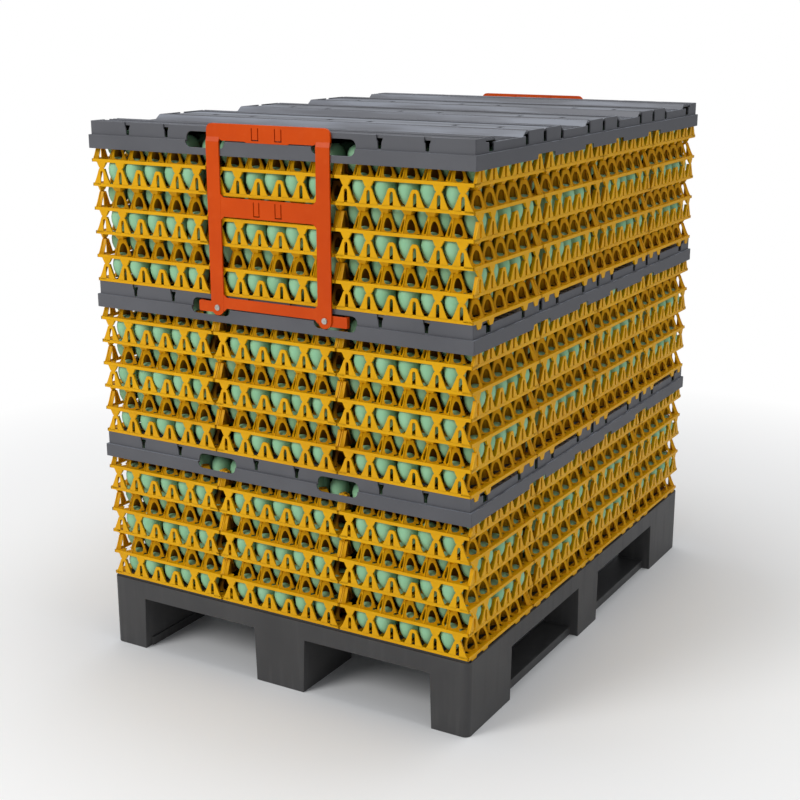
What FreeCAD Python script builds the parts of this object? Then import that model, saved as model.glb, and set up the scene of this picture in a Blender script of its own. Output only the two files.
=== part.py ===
import FreeCAD, Part
import os
import re

# A pallet load of egg trays.
# A plastic pallet carries three tiers. Each tier is three by four stacks of
# six square thirty-egg trays, closed by a divider board whose skirt grips the
# tops of the stacks. Alternate trays are turned a quarter, so each face of a
# stack shows five eggs in one row and six in the next. A clamp on each short
# end hangs on the top divider and hooks into the hand holes of the middle one.
# Millimetres. X runs along the short end, Y along the long side, Z is up.
# The origin is on the floor under the middle of the pallet.

SIZES = [
    ("tray_width", 297.0, "side of a square tray"),
    ("tray_gap", 1.5, "gap between neighbouring stacks"),
    ("tray_rise", 50.0, "height that each nested tray adds to its stack"),
    ("tray_height", 68.0, "height of one tray with its eggs"),
    ("rail_height", 6.5, "thickness of the tray's floor and edge rail"),
    ("peak_height", 30.0, "height of the pointed edge posts over the rail"),
    ("peak_depth", 11.0, "depth of an edge post at its foot"),
    ("post_lean", 17.0, "tip of a post set back from its foot, six-egg face"),
    ("cell_count", 6, "cells along the long way of a tray"),
    ("egg_inset_near", 12.0, "face of the tray to the eggs, five-egg face"),
    ("egg_inset_far", 28.0, "face of the tray to the eggs, six-egg face"),
    ("tray_count", 6, "trays in one stack"),
    ("stack_columns", 3, "stacks across the pallet"),
    ("stack_rows", 4, "stacks along the pallet"),
    ("tier_count", 3, "tiers of stacks"),
    ("skirt_wall", 2.5, "wall of the divider's skirt"),
    ("skirt_gap", 0.5, "play between the skirt and the trays"),
    ("skirt_height", 28.0, "height of the skirt"),
    ("band_inset", 7.0, "step back from the skirt to the upper band"),
    ("band_wall", 3.5, "wall of the upper band"),
    ("band_height", 28.0, "height of the upper band"),
    ("plate_wall", 4.0, "thickness of the divider's top plate"),
    ("valley_depth", 12.0, "depth of the valleys across the divider"),
    ("valley_floor", 104.0, "width of a valley at its floor"),
    ("valley_mouth", 136.0, "width of a valley at its mouth"),
    ("slot_offset", 50.0, "end slots to the middle of their stack"),
    ("slot_mouth", 13.0, "width of an end slot at the top"),
    ("slot_foot", 8.0, "width of an end slot at its foot"),
    ("slot_sill", 3.0, "wall left between a slot and the skirt"),
    ("post_slot", 14.0, "width of the slots in the long sides"),
    ("hand_length", 98.0, "length of a hand hole"),
    ("hand_height", 38.0, "height of a hand hole"),
    ("hand_corner", 11.0, "bevel at the corners of a hand hole"),
    ("hand_foot", 8.0, "lower edge of a hand hole over the skirt's edge"),
    ("pallet_height", 160.0, "floor to the pallet's rim"),
    ("deck_depth", 40.0, "depth of the pallet's deck at its rim"),
    ("deck_wall", 10.0, "thickness of the deck's top"),
    ("deck_rib", 8.0, "thickness of the ribs under the deck"),
    ("under_bays", 4, "hollows along each side under the deck"),
    ("deck_step", 5.0, "height of the raised fields on the deck"),
    ("deck_lip", 6.0, "step from the rim in to the raised fields"),
    ("corner_radius", 14.0, "radius of the pallet's upright corners"),
    ("outer_leg", 88.0, "width of a leg under the long side"),
    ("middle_leg", 128.0, "width of a leg under the middle"),
    ("end_leg", 194.0, "length of a leg at either end"),
    ("centre_leg", 116.0, "length of a leg halfway along"),
    ("leg_draft", 4.0, "taper of a leg's inner faces"),
    ("runner_height", 20.0, "height of the runners"),
    ("runner_inset", 20.0, "step from a leg's face to its runner's"),
    ("clamp_width", 288.0, "width of the clamp"),
    ("clamp_leg", 31.0, "width of the clamp's legs"),
    ("clamp_wall", 5.0, "thickness of the clamp's bars"),
    ("clamp_radius", 11.0, "corner radius of the clamp's header"),
    ("header_rise", 7.0, "top of the header over the divider's top"),
    ("header_lug", 10.0, "width of the lugs behind the header"),
    ("shoulder_height", 8.0, "height of the slope from header to legs"),
    ("brace_height", 38.0, "height of the clamp's middle bar"),
    ("brace_drop", 143.0, "header's top to the middle bar's top"),
    ("tie_height", 22.0, "height of the clamp's lower bar"),
    ("ear_radius", 15.0, "radius of the leg's round end"),
    ("latch_drop", 25.0, "pivot of the tongues under the middle divider's top"),
    ("latch_wall", 4.0, "thickness of a tongue"),
    ("latch_height", 22.0, "height of a tongue"),
    ("latch_reach", 49.0, "pivot to the tip of a tongue"),
    ("latch_hook", 9.0, "thickness of a tongue's hooked tip"),
    ("latch_entry", 10.0, "reach of the hooked tip behind the skirt's face"),
    ("screw_head", 6.0, "radius of the pivot screw's head"),
    ("screw_cap", 2.5, "height of the pivot screw's head"),
]

# Lengths worked out from the sizes above, each by its own name.
WORKED_OUT = {
    "stack_pitch": "tray_width + tray_gap",
    "load_width": "stack_columns * stack_pitch - tray_gap",
    "load_length": "stack_rows * stack_pitch - tray_gap",
    "skirt_play": "skirt_gap + skirt_wall",
    "board_width": "load_width + 2 * skirt_play",
    "board_length": "load_length + 2 * skirt_play",
    "board_height": "skirt_height + band_height",
    "end_face": "board_length / 2",
    "side_face": "board_width / 2",
    "deck_top": "pallet_height + deck_step",
    "filled_height": "(tray_count - 1) * tray_rise + tray_height",
    "under_valley": "board_height - valley_depth - plate_wall",
    "tier_height": "filled_height + plate_wall + valley_depth",
    "load_top": "deck_top + tier_count * tier_height",
    "header_top": "load_top + header_rise",
    "header_foot": "load_top - band_height",
    "header_front": "end_face - band_inset + clamp_wall",
    "pivot_level": "load_top - tier_height - latch_drop",
    "pivot_across": "clamp_width / 2 - clamp_leg / 2",
    "clamp_inside": "clamp_width - 2 * clamp_leg",
    "leg_front": "end_face + latch_wall + clamp_wall",
    "leg_level": "pallet_height - deck_depth",
}

doc = FreeCAD.newDocument("EggLoad")
sheet = doc.addObject("Spreadsheet::Sheet", "Sizes")
for line, (alias, value, note) in enumerate(SIZES, start=1):
    sheet.set(f"A{line}", note)
    sheet.set(f"B{line}", str(value))
    sheet.setAlias(f"B{line}", alias)
doc.recompute()

driving = [alias for alias, value, note in SIZES]


def size(alias):
    return float(sheet.get(alias))


def formula(text):
    """Write a formula in plain size names as the document's own expression."""
    def put(match):
        word = match.group(0)
        if word in driving:
            return "Sizes." + word
        if word in WORKED_OUT:
            return "(" + formula(WORKED_OUT[word]) + ")"
        return word
    return re.sub(r"[a-z_]+", put, str(text))


def bind(thing, **formulas):
    for name, text in formulas.items():
        thing.setExpression(name.replace("__", "."), formula(text))
    return thing


def box(name, x, y, z, length, width, height):
    """A block from its lowest corner, every number a formula."""
    block = doc.addObject("Part::Box", name)
    return bind(block, Length=length, Width=width, Height=height,
                Placement__Base__x=x, Placement__Base__y=y, Placement__Base__z=z)


def middle_box(name, x, y, z, length, width, height):
    """A block centred on x and y, standing on z."""
    return box(name, f"{x} - ({length}) / 2", f"{y} - ({width}) / 2", z, length, width, height)


def rod(name, x, y, z, radius, length):
    """A cylinder along Y that starts at y."""
    shaft = doc.addObject("Part::Cylinder", name)
    shaft.Placement.Rotation = FreeCAD.Rotation(FreeCAD.Vector(1, 0, 0), -90)
    return bind(shaft, Radius=radius, Height=length,
                Placement__Base__x=x, Placement__Base__y=y, Placement__Base__z=z)


def tapered(name, z, height, low, high):
    """A block whose lower and upper rectangles differ, each given as x0, x1, y0, y1."""
    block = doc.addObject("Part::Wedge", name)
    block.Placement.Rotation = FreeCAD.Rotation(FreeCAD.Vector(1, 0, 0), 90)
    return bind(block, Xmin=low[0], Xmax=low[1], Zmin=f"-({low[3]})", Zmax=f"-({low[2]})",
                X2min=high[0], X2max=high[1], Z2min=f"-({high[3]})", Z2max=f"-({high[2]})",
                Ymin=0, Ymax=height, Placement__Base__z=z)


def fuse(name, parts):
    whole = doc.addObject("Part::MultiFuse", name)
    whole.Shapes = parts
    whole.Refine = True
    return whole


def cut(name, base, tools):
    if len(tools) > 1:
        tools = [fuse(name + "_tools", tools)]
    whole = doc.addObject("Part::Cut", name)
    whole.Base = base
    whole.Tool = tools[0]
    whole.Refine = True
    return whole


def rounded(name, base, radius, wanted, kind="Part::Fillet"):
    """Round or bevel the straight edges of base that wanted() accepts."""
    doc.recompute()
    soft = doc.addObject(kind, name)
    soft.Base = base
    soft.Edges = [(number, size(radius), size(radius))
                  for number, edge in enumerate(base.Shape.Edges, start=1) if wanted(edge)]
    return soft


STRAIGHT_WITHIN = 1e-6


def runs_along(edge, axis):
    a, b = edge.Vertexes[0].Point, edge.Vertexes[-1].Point
    return abs(abs(b[axis] - a[axis]) - edge.Length) < STRAIGHT_WITHIN


columns = [f"({c} - (stack_columns - 1) / 2) * stack_pitch" for c in range(int(size("stack_columns")))]
row_joints = [f"({r} - stack_rows / 2) * stack_pitch" for r in range(int(size("stack_rows")) + 1)]
row_middles = [f"({r} - (stack_rows - 1) / 2) * stack_pitch" for r in range(int(size("stack_rows")))]
column_joints = [f"({c} - stack_columns / 2) * stack_pitch" for c in range(1, int(size("stack_columns")))]

pieces = []


def finished(thing, label):
    thing.Label = label
    pieces.append(thing)
    return thing


def tier_word(tier, words=("lower", "middle", "upper")):
    return words[tier] if tier < len(words) else f"tier{tier + 1}"


# Pallet: a moulded deck on nine legs, joined lengthwise by three runners.

def pallet_leg(name, column, row):
    """Legs flush with the rim outside and drafted on their inner faces."""
    half = "outer_leg" if column else "middle_leg / 2"
    low_x = ["-side_face", "-side_face + outer_leg - leg_draft"] if column < 0 else \
            ["side_face - outer_leg + leg_draft", "side_face"] if column > 0 else \
            [f"-{half} + leg_draft", f"{half} - leg_draft"]
    top_x = ["-side_face", "-side_face + outer_leg"] if column < 0 else \
            ["side_face - outer_leg", "side_face"] if column > 0 else [f"-{half}", f"{half}"]
    low_y = ["-end_face", "-end_face + end_leg - leg_draft"] if row < 0 else \
            ["end_face - end_leg + leg_draft", "end_face"] if row > 0 else \
            ["-centre_leg / 2 + leg_draft", "centre_leg / 2 - leg_draft"]
    top_y = ["-end_face", "-end_face + end_leg"] if row < 0 else \
            ["end_face - end_leg", "end_face"] if row > 0 else ["-centre_leg / 2", "centre_leg / 2"]
    return tapered(name, 0, "leg_level", low_x + low_y, top_x + top_y)


def make_pallet():
    deck = middle_box("deck", 0, 0, "leg_level", "board_width", "board_length", "deck_depth")
    raised = middle_box("raised", 0, 0, "pallet_height", "board_width - 2 * deck_lip",
                        "board_length - 2 * deck_lip", "deck_step")
    lows = [middle_box(f"deck_valley_{i}", 0, y, "pallet_height",
                       "board_width", "valley_mouth", "deck_step") for i, y in enumerate(row_middles)]
    fields = cut("raised_fields", raised, lows)
    legs = [pallet_leg(f"leg_{c + 1}_{r + 1}", c, r) for c in (-1, 0, 1) for r in (-1, 0, 1)]
    runners = [middle_box("runner_left", "-side_face + outer_leg / 2 + runner_inset / 2", 0, 0,
                          "outer_leg - runner_inset", "board_length - 2 * runner_inset", "runner_height"),
               middle_box("runner_middle", 0, 0, 0, "middle_leg - 2 * runner_inset",
                          "board_length - 2 * runner_inset", "runner_height"),
               middle_box("runner_right", "side_face - outer_leg / 2 - runner_inset / 2", 0, 0,
                          "outer_leg - runner_inset", "board_length - 2 * runner_inset", "runner_height")]
    bay = "(side_face - outer_leg - middle_leg / 2 - 2 * deck_rib)"
    run = "((board_length - 2 * deck_rib) / under_bays)"
    hollows = []
    for side in (-1, 1):
        for step in range(int(size("under_bays"))):
            hollows.append(middle_box(
                f"hollow_{side + 1}_{step}",
                f"{side} * (middle_leg / 2 + deck_rib + {bay} / 2)",
                f"({step} - (under_bays - 1) / 2) * {run}", "leg_level",
                bay, f"{run} - deck_rib", "deck_depth - deck_wall"))
    body = fuse("pallet_body", [deck, fields] + legs + runners)
    hollowed = cut("pallet_hollowed", body, hollows)
    doc.recompute()
    reach = size("corner_radius")

    def upright_corner(edge):
        spot = edge.CenterOfMass
        bound = body.Shape.BoundBox
        return runs_along(edge, 2) and edge.Length > size("pallet_height") / 2 \
            and abs(abs(spot.x) - bound.XMax) < reach / 2 and abs(abs(spot.y) - bound.YMax) < reach / 2

    return rounded("pallet", hollowed, "corner_radius", upright_corner)


# Divider: a tray-shaped lid with raised fields over the joints of the rows.
# Built with the lower edge of its skirt at zero.

def valley(name, y, grow, z, height):
    """The trapezium cut out of the top for one valley, grown all round for the wall under it."""
    low, high = [("-side_face", "side_face", f"{y} - {width} / 2 - {grow}", f"{y} + {width} / 2 + {grow}")
                 for width in ("valley_floor", "valley_mouth")]
    return tapered(name, z, height, low, high)


def divider_slots():
    """Tapered slots in the short ends, two to a stack."""
    walls = {"front": ("-end_face + band_inset", "-end_face + band_inset + band_wall"),
             "rear": ("end_face - band_inset - band_wall", "end_face - band_inset")}
    slots = []
    for c, middle in enumerate(columns):
        for s in (-1, 1):
            x = f"({middle} + {s} * slot_offset)"
            for end, wall in walls.items():
                foot = (f"{x} - slot_foot / 2", f"{x} + slot_foot / 2") + wall
                mouth = (f"{x} - slot_mouth / 2", f"{x} + slot_mouth / 2") + wall
                slots.append(tapered(f"slot_{end}_{c}_{s + 1}", "skirt_height + slot_sill",
                                     "band_height - slot_sill", foot, mouth))
    return slots


def side_slots():
    """Slots that leave two short posts at each row joint of the long sides."""
    slots = []
    for j, joint in enumerate(row_joints):
        for s in (-1, 0, 1):
            if (j == 0 and s < 1) or (j == len(row_joints) - 1 and s > -1):
                continue
            for e in (-1, 1):
                slots.append(middle_box(
                    f"post_slot_{j}_{s + 1}_{e + 1}",
                    f"{e} * (side_face - band_inset - band_wall / 2)",
                    f"{joint} + {s} * (stack_pitch - valley_mouth) / 2",
                    "skirt_height + slot_sill", "band_wall", "post_slot", "board_height"))
    return slots


def hand_holes():
    holes = []
    depth = "(2 * band_inset + band_wall)"
    for c, joint in enumerate(column_joints):
        for e in (-1, 1):
            block = middle_box(f"hand_block_{c}_{e + 1}", joint, f"{e} * (end_face - {depth} / 2)",
                               "hand_foot", "hand_length", depth, "hand_height")
            holes.append(rounded(f"hand_hole_{c}_{e + 1}", block, "hand_corner",
                                 lambda edge: runs_along(edge, 1), "Part::Chamfer"))
    return holes


def make_divider():
    skirt = middle_box("skirt", 0, 0, 0, "board_width", "board_length", "skirt_height")
    band = middle_box("band", 0, 0, "skirt_height", "board_width - 2 * band_inset",
                      "board_length - 2 * band_inset", "band_height")
    outside = fuse("divider_outside", [skirt, band])
    valleys = [valley(f"valley_{i}", y, 0, "board_height - valley_depth", "valley_depth")
               for i, y in enumerate(row_middles)]
    floors = [valley(f"valley_floor_{i}", y, "plate_wall", "under_valley", "valley_depth")
              for i, y in enumerate(row_middles)]
    low_room = middle_box("low_room", 0, 0, 0, "load_width + 2 * skirt_gap", "load_length + 2 * skirt_gap",
                          "skirt_height - plate_wall")
    high_room = middle_box("high_room", 0, 0, 0, "board_width - 2 * (band_inset + band_wall)",
                           "board_length - 2 * (band_inset + band_wall)", "board_height - plate_wall")
    room = cut("upper_room", high_room, floors)
    openings = divider_slots() + side_slots() + hand_holes()
    whole = cut("divider_whole", outside, valleys + [low_room, room] + openings)
    return split_ends(whole)


def split_ends(whole):
    """The divider's end walls, halved, apart from the rest: they meet face to face."""
    wall = "(band_inset + band_wall)"
    zones = [box(f"end_zone_{name}", x, y, 0, "side_face", wall, "board_height")
             for name, x, y in (("a", "-side_face", "-end_face"), ("b", 0, "-end_face"),
                                ("c", "-side_face", f"end_face - {wall}"), ("d", 0, f"end_face - {wall}"))]
    ends = []
    for zone in zones:
        end = doc.addObject("Part::Common", zone.Name + "_wall")
        end.Base = whole
        end.Tool = zone
        end.Refine = True
        ends.append(end)
    both = doc.addObject("Part::Compound", "divider_master")
    both.Links = [cut("divider_middle_part", whole, zones)] + ends
    return both


# Trays: a floor plate whose outward edges carry pointed posts.

def peak(foot_a, foot_b, tip, back):
    corners = [FreeCAD.Vector(*p) for p in (foot_a, foot_b, tip, back)]
    sides = [(0, 1, 2), (0, 2, 3), (1, 3, 2), (0, 3, 1)]
    faces = [Part.Face(Part.makePolygon([corners[i] for i in side + side[:1]])) for side in sides]
    return Part.makeSolid(Part.makeShell(faces))


def edge_posts(five_eggs):
    """The row of posts along one edge, for the face that looks along -Y.

    The face with five eggs has six upright posts, one at each end. The face
    with six eggs has five posts between the ends, and their tips lean inward.
    """
    half, depth = size("tray_width") / 2, size("peak_depth")
    cells = int(size("cell_count"))
    cell = size("tray_width") / cells
    low, high = size("rail_height"), size("rail_height") + size("peak_height")
    tip_depth = 0 if five_eggs else size("post_lean")
    back_depth = depth if five_eggs else depth + size("post_lean")
    posts = []
    for i in range(cells if five_eggs else cells - 1):
        x = -half + (i + 0.5 if five_eggs else i + 1) * cell
        posts.append(peak((x - cell / 2, -half, low), (x + cell / 2, -half, low),
                          (x, tip_depth - half, high), (x, back_depth - half, low)))
    return posts


def turned(shapes, quarter_turns):
    spun = [shape.copy() for shape in shapes]
    for shape in spun:
        shape.rotate(FreeCAD.Vector(0, 0, 0), FreeCAD.Vector(0, 0, 1), 90 * quarter_turns)
    return spun


def tray(outward, lengthwise):
    """One tray: outward lists the faces seen, 0 for -Y, then 1, 2, 3 turning left."""
    width = size("tray_width")
    plate = Part.makeBox(width, width, size("rail_height"), FreeCAD.Vector(-width / 2, -width / 2, 0))
    posts = []
    for side in outward:
        five_eggs = (side % 2 == 0) == lengthwise
        posts += turned(edge_posts(five_eggs), side)
    return plate.multiFuse(posts).removeSplitter() if posts else plate


def make_tray_stacks():
    wide, deep = int(size("stack_columns")), int(size("stack_rows"))
    known = {}
    for tier in range(int(size("tier_count"))):
        for c in range(wide):
            for r in range(deep):
                at_edge = (r == 0, c == wide - 1, r == deep - 1, c == 0)
                outward = tuple(side for side, there in enumerate(at_edge) if there)
                layers = []
                for level in range(int(size("tray_count"))):
                    key = (outward, level % 2 == 0)
                    if key not in known:
                        known[key] = tray(*key)
                    layer = known[key].copy()
                    layer.translate(FreeCAD.Vector(0, 0, level * size("tray_rise")))
                    layers.append(layer)
                stack = doc.addObject("Part::Feature", f"stack_{tier}_{c}_{r}")
                stack.Shape = Part.makeCompound(layers)
                bind(stack, Placement__Base__x=columns[c], Placement__Base__y=row_middles[r],
                     Placement__Base__z=f"deck_top + {tier} * tier_height")
                finished(stack, f"trays_{tier_word(tier)}_c{c + 1}_r{r + 1}")


# Eggs: each layer is the block that its eggs fill, set back behind the posts.

def make_egg_layers():
    for tier in range(int(size("tier_count"))):
        layers = []
        last = int(size("tray_count")) - 1
        for level in range(last + 1):
            across, along = ("egg_inset_far", "egg_inset_near") if level % 2 == 0 else \
                            ("egg_inset_near", "egg_inset_far")
            top = "tray_height" if level == last else "tray_rise"
            layers.append(middle_box(
                f"eggs_{tier}_{level}", 0, 0,
                f"deck_top + {tier} * tier_height + {level} * tray_rise + rail_height",
                f"load_width - 2 * {across}", f"load_length - 2 * {along}", f"{top} - rail_height"))
        group = doc.addObject("Part::Compound", f"egg_group_{tier}")
        group.Links = layers
        finished(group, f"eggs_{tier_word(tier)}")


# Clamp: a header on the top divider, two legs, a middle bar and a lower bar.
# The clamp at the -Y end is built here and the other is a half turn of it.

def make_clamp_frame():
    band_face = "(-end_face + band_inset)"
    header = middle_box("header_block", 0, f"{band_face} - clamp_wall / 2", "header_foot",
                        "clamp_width", "clamp_wall", "header_top - header_foot")

    def upper_corner(edge):
        return runs_along(edge, 1) and edge.CenterOfMass.z > header.Shape.CenterOfMass.z

    bars = [rounded("header", header, "clamp_radius", upper_corner)]
    for s in (-1, 1):
        x = f"{s} * pivot_across"
        sides = (f"{x} - clamp_leg / 2", f"{x} + clamp_leg / 2")
        bars.append(tapered(f"shoulder_{s + 1}", "header_foot", "shoulder_height",
                            sides + ("-leg_front", band_face), sides + ("-header_front", band_face)))
        bars.append(box(f"clamp_leg_{s + 1}", f"{x} - clamp_leg / 2", "-leg_front", "pivot_level",
                        "clamp_leg", "clamp_wall", "header_foot - pivot_level"))
        bars.append(rod(f"ear_{s + 1}", x, "-leg_front", "pivot_level", "ear_radius", "clamp_wall"))
        bars.append(middle_box(f"header_lug_{s + 1}", f"{s} * slot_offset", f"{band_face} + band_wall / 2",
                               "header_top - header_rise - plate_wall", "header_lug", "band_wall",
                               "header_rise + plate_wall"))
    bars.append(box("brace", "-clamp_inside / 2", "-leg_front", "header_top - brace_drop - brace_height",
                    "clamp_inside", "clamp_wall", "brace_height"))
    bars.append(box("tie", "-clamp_inside / 2", "-leg_front", "pivot_level",
                    "clamp_inside", "clamp_wall", "tie_height"))
    return fuse("clamp_frame_master", bars)


def make_latch(side):
    x = f"{side} * pivot_across"
    blade = middle_box(f"blade_{side + 1}", f"{x} + {side} * (latch_reach - latch_height / 2) / 2",
                       "-end_face - latch_wall / 2", "pivot_level - latch_height / 2",
                       "latch_reach + latch_height / 2", "latch_wall", "latch_height")
    hook = middle_box(f"hook_{side + 1}", f"{x} + {side} * (latch_reach - latch_hook / 2)",
                      "-end_face + latch_entry / 2", "pivot_level - latch_height / 2",
                      "latch_hook", "latch_entry", "latch_height")
    return fuse(f"latch_master_{side + 1}", [blade, hook])


def make_screws():
    """The low heads of the two pivot screws, seated on the ears, with twelve flats."""
    both = []
    for s in (-1, 1):
        head = doc.addObject("Part::Prism", f"screw_{s + 1}")
        head.Placement.Rotation = FreeCAD.Rotation(FreeCAD.Vector(1, 0, 0), -90)
        head.Polygon = 12
        both.append(bind(head, Circumradius="screw_head", Height="screw_cap",
                         Placement__Base__x=f"{s} * pivot_across",
                         Placement__Base__y="-leg_front - screw_cap", Placement__Base__z="pivot_level"))
    pair = doc.addObject("Part::Compound", "screw_pair_master")
    pair.Links = both
    return pair


def placed(master, name, label, lift=None, half_turn=False):
    """A finished copy of a piece, lifted to its level or turned to the far end."""
    copy = doc.addObject("Part::Feature", name)
    copy.Shape = master.Shape.copy()
    if half_turn:
        copy.Placement = FreeCAD.Placement(FreeCAD.Vector(0, 0, 0),
                                           FreeCAD.Rotation(FreeCAD.Vector(0, 0, 1), 180))
    if lift:
        bind(copy, Placement__Base__z=lift)
    return finished(copy, label)


finished(make_pallet(), "pallet")
make_tray_stacks()
make_egg_layers()

divider = make_divider()
frame = make_clamp_frame()
latches = {-1: make_latch(-1), 1: make_latch(1)}
screws = make_screws()
doc.recompute()

for tier in range(int(size("tier_count"))):
    placed(divider, f"placed_divider_{tier}", "divider_" + tier_word(tier, ("lower", "middle", "top")),
           lift=f"deck_top + {tier + 1} * tier_height - board_height")
for end, half_turn in (("front", False), ("rear", True)):
    placed(frame, f"placed_frame_{end}", f"clamp_frame_{end}", half_turn=half_turn)
    placed(latches[-1], f"placed_latch_a_{end}", f"clamp_tongue_{end}_a", half_turn=half_turn)
    placed(latches[1], f"placed_latch_b_{end}", f"clamp_tongue_{end}_b", half_turn=half_turn)
    placed(screws, f"placed_screws_{end}", f"clamp_screws_{end}", half_turn=half_turn)
doc.recompute()

for thing in doc.Objects:
    if "Invalid" in thing.State or "Error" in thing.State:
        raise RuntimeError(f"{thing.Label} did not build: {thing.State}")
for thing in pieces:
    if thing.Shape.isNull() or not thing.Shape.isValid() or not thing.Shape.Solids:
        raise RuntimeError(f"{thing.Label} has no valid solid")

os.makedirs("parts", exist_ok=True)
for thing in pieces:
    thing.Shape.exportStep(f"parts/{thing.Label}.step")
    bound = thing.Shape.BoundBox
    print(f"{thing.Label}: solids {len(thing.Shape.Solids)}, "
          f"{bound.XLength:.1f} x {bound.YLength:.1f} x {bound.ZLength:.1f} mm")
print("pieces:", len(pieces))
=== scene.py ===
# %% [markdown]
# # A pallet load of egg trays
#
# The load is a dark plastic pallet, three tiers of yellow egg trays full of
# pale green eggs, a grey divider board on each tier and an orange clamp on
# each short end. The construction model already holds every piece at its real
# size. This lesson loads it as a fixed frame and dresses it: the trays get
# their posts and windows, the eggs their shape, and each surface its finish.

# %% Load the frame
import bpy
import bmesh
import math
import numpy as np
from mathutils import Matrix, Vector
from mathutils.geometry import tessellate_polygon


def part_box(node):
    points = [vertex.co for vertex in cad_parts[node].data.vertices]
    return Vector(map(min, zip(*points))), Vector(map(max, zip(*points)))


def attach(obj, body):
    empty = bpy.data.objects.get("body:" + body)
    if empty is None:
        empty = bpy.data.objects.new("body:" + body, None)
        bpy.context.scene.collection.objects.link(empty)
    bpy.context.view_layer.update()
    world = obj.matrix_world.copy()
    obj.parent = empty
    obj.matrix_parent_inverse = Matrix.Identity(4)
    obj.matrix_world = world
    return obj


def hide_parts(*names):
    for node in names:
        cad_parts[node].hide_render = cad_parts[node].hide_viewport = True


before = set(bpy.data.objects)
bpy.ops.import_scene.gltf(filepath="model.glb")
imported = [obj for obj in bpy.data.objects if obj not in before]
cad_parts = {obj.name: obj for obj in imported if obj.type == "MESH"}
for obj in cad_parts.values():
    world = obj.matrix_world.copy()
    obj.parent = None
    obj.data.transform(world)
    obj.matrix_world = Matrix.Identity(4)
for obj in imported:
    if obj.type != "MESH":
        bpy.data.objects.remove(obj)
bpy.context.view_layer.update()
MM = 0.001
COLUMNS, ROWS, LEVELS = 3, 4, 6
LOAD_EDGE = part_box(f"trays_lower_c{COLUMNS}_r{ROWS}")[1]

# %% [markdown]
# ## The camera
#
# A product shot lives or dies by its viewpoint. We could turn the camera by
# eye until the picture looks right, but a load of straight edges gives the
# view away: its corners fix where the camera stood and how long its lens was.
# So the place, the aim and the lens are written as plain numbers here.

# %% Stand the camera where the photographer stood
CAMERA_PLACE = Vector((1.579, -2.813, 1.383))
CAMERA_YAW = -0.5257
CAMERA_PITCH = -0.2707
LENS_MM = 62.97

aim = Vector((math.sin(CAMERA_YAW) * math.cos(CAMERA_PITCH),
              math.cos(CAMERA_YAW) * math.cos(CAMERA_PITCH),
              math.sin(CAMERA_PITCH)))
camera = bpy.data.objects.new("camera", bpy.data.cameras.new("camera"))
camera.location = CAMERA_PLACE
camera.rotation_mode = "QUATERNION"
camera.rotation_quaternion = aim.to_track_quat("-Z", "Y")
camera.data.lens = LENS_MM
camera.data.sensor_width = 36
bpy.context.scene.collection.objects.link(camera)
bpy.context.scene.camera = camera
print("camera looks along", [round(v, 3) for v in aim])

# %% [markdown]
# ## Shader maths in plain Python
#
# Every finish below mixes a few noises. Placing nodes by hand makes long,
# hard-to-read code, so a small class wraps a node's output and lets us write
# `1 - mask * 0.3` and get the Math nodes for it. A second class is one
# material: its `node` method makes any node, with its settings set first.

# %% A socket that understands arithmetic
class Socket:
    def __init__(self, finish, output):
        self.finish = finish
        self.output = output

    def math(self, operation, first, second):
        return self.finish.node("ShaderNodeMath", {"operation": operation}, {0: first, 1: second})

    def __radd__(self, other):
        return self.math("ADD", other, self)

    def __rsub__(self, other):
        return self.math("SUBTRACT", other, self)

    def __mul__(self, other):
        return self.math("MULTIPLY", self, other)

    def __rmul__(self, other):
        return self.math("MULTIPLY", other, self)


# %% A material that builds its own nodes
class Finish:
    def __init__(self, name):
        self.material = bpy.data.materials.new(name)
        self.material.use_nodes = True
        self.tree = self.material.node_tree
        self.shader = self.tree.nodes["Principled BSDF"]

    def feed(self, target, value):
        if isinstance(value, Socket):
            self.tree.links.new(value.output, target)
        elif isinstance(target.default_value, float):
            target.default_value = value
        else:
            room = len(target.default_value)
            target.default_value = (tuple(value) + (1.0,))[:room]

    def node(self, kind, settings=None, sockets=None, out=0):
        made = self.tree.nodes.new(kind)
        for name, value in (settings or {}).items():
            setattr(made, name, value)
        for name, value in (sockets or {}).items():
            self.feed(made.inputs[name], value)
        return Socket(self, made.outputs[out])

    def place(self, stretch=(1, 1, 1)):
        """The point on the piece, in metres, stretched to draw a noise out."""
        spot = self.node("ShaderNodeTexCoord", out="Object")
        return self.node("ShaderNodeVectorMath", {"operation": "MULTIPLY"}, {0: spot, 1: stretch})

    def noise(self, scale, detail=2.0, stretch=(1, 1, 1), low=0.3, high=0.7):
        """A soft noise from 0 to 1, its features about 1/scale of a metre."""
        grain = self.node("ShaderNodeTexNoise", sockets={"Vector": self.place(stretch),
                                                         "Scale": scale, "Detail": detail})
        return self.node("ShaderNodeMapRange", {"clamp": True},
                         {"Value": grain, "From Min": low, "From Max": high})

    def depth(self, near, far):
        """From 0 at the load's outside to 1 far in behind the posts, the mask for painted shade."""
        spot = self.node("ShaderNodeVectorMath", {"operation": "ABSOLUTE"}, {0: self.place()})
        parts = [self.node("ShaderNodeSeparateXYZ", sockets={0: spot}, out=i) for i in (0, 1)]
        least = self.node("ShaderNodeMath", {"operation": "MINIMUM"},
                          {0: LOAD_EDGE.x - parts[0], 1: LOAD_EDGE.y - parts[1]})
        return self.node("ShaderNodeMapRange", {"clamp": True},
                         {"Value": least, "From Min": near, "From Max": far})

    def mix(self, share, first, second):
        return self.node("ShaderNodeMix", {"data_type": "RGBA"}, {0: share, 6: first, 7: second}, out=2)

    def bump(self, height, depth, strength=1.0):
        return self.node("ShaderNodeBump", sockets={"Height": height, "Distance": depth,
                                                    "Strength": strength})

    def shade(self, **values):
        for name, value in values.items():
            self.feed(self.shader.inputs[name.replace("_", " ")], value)
        return self.material


print("shader helpers ready")
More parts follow.
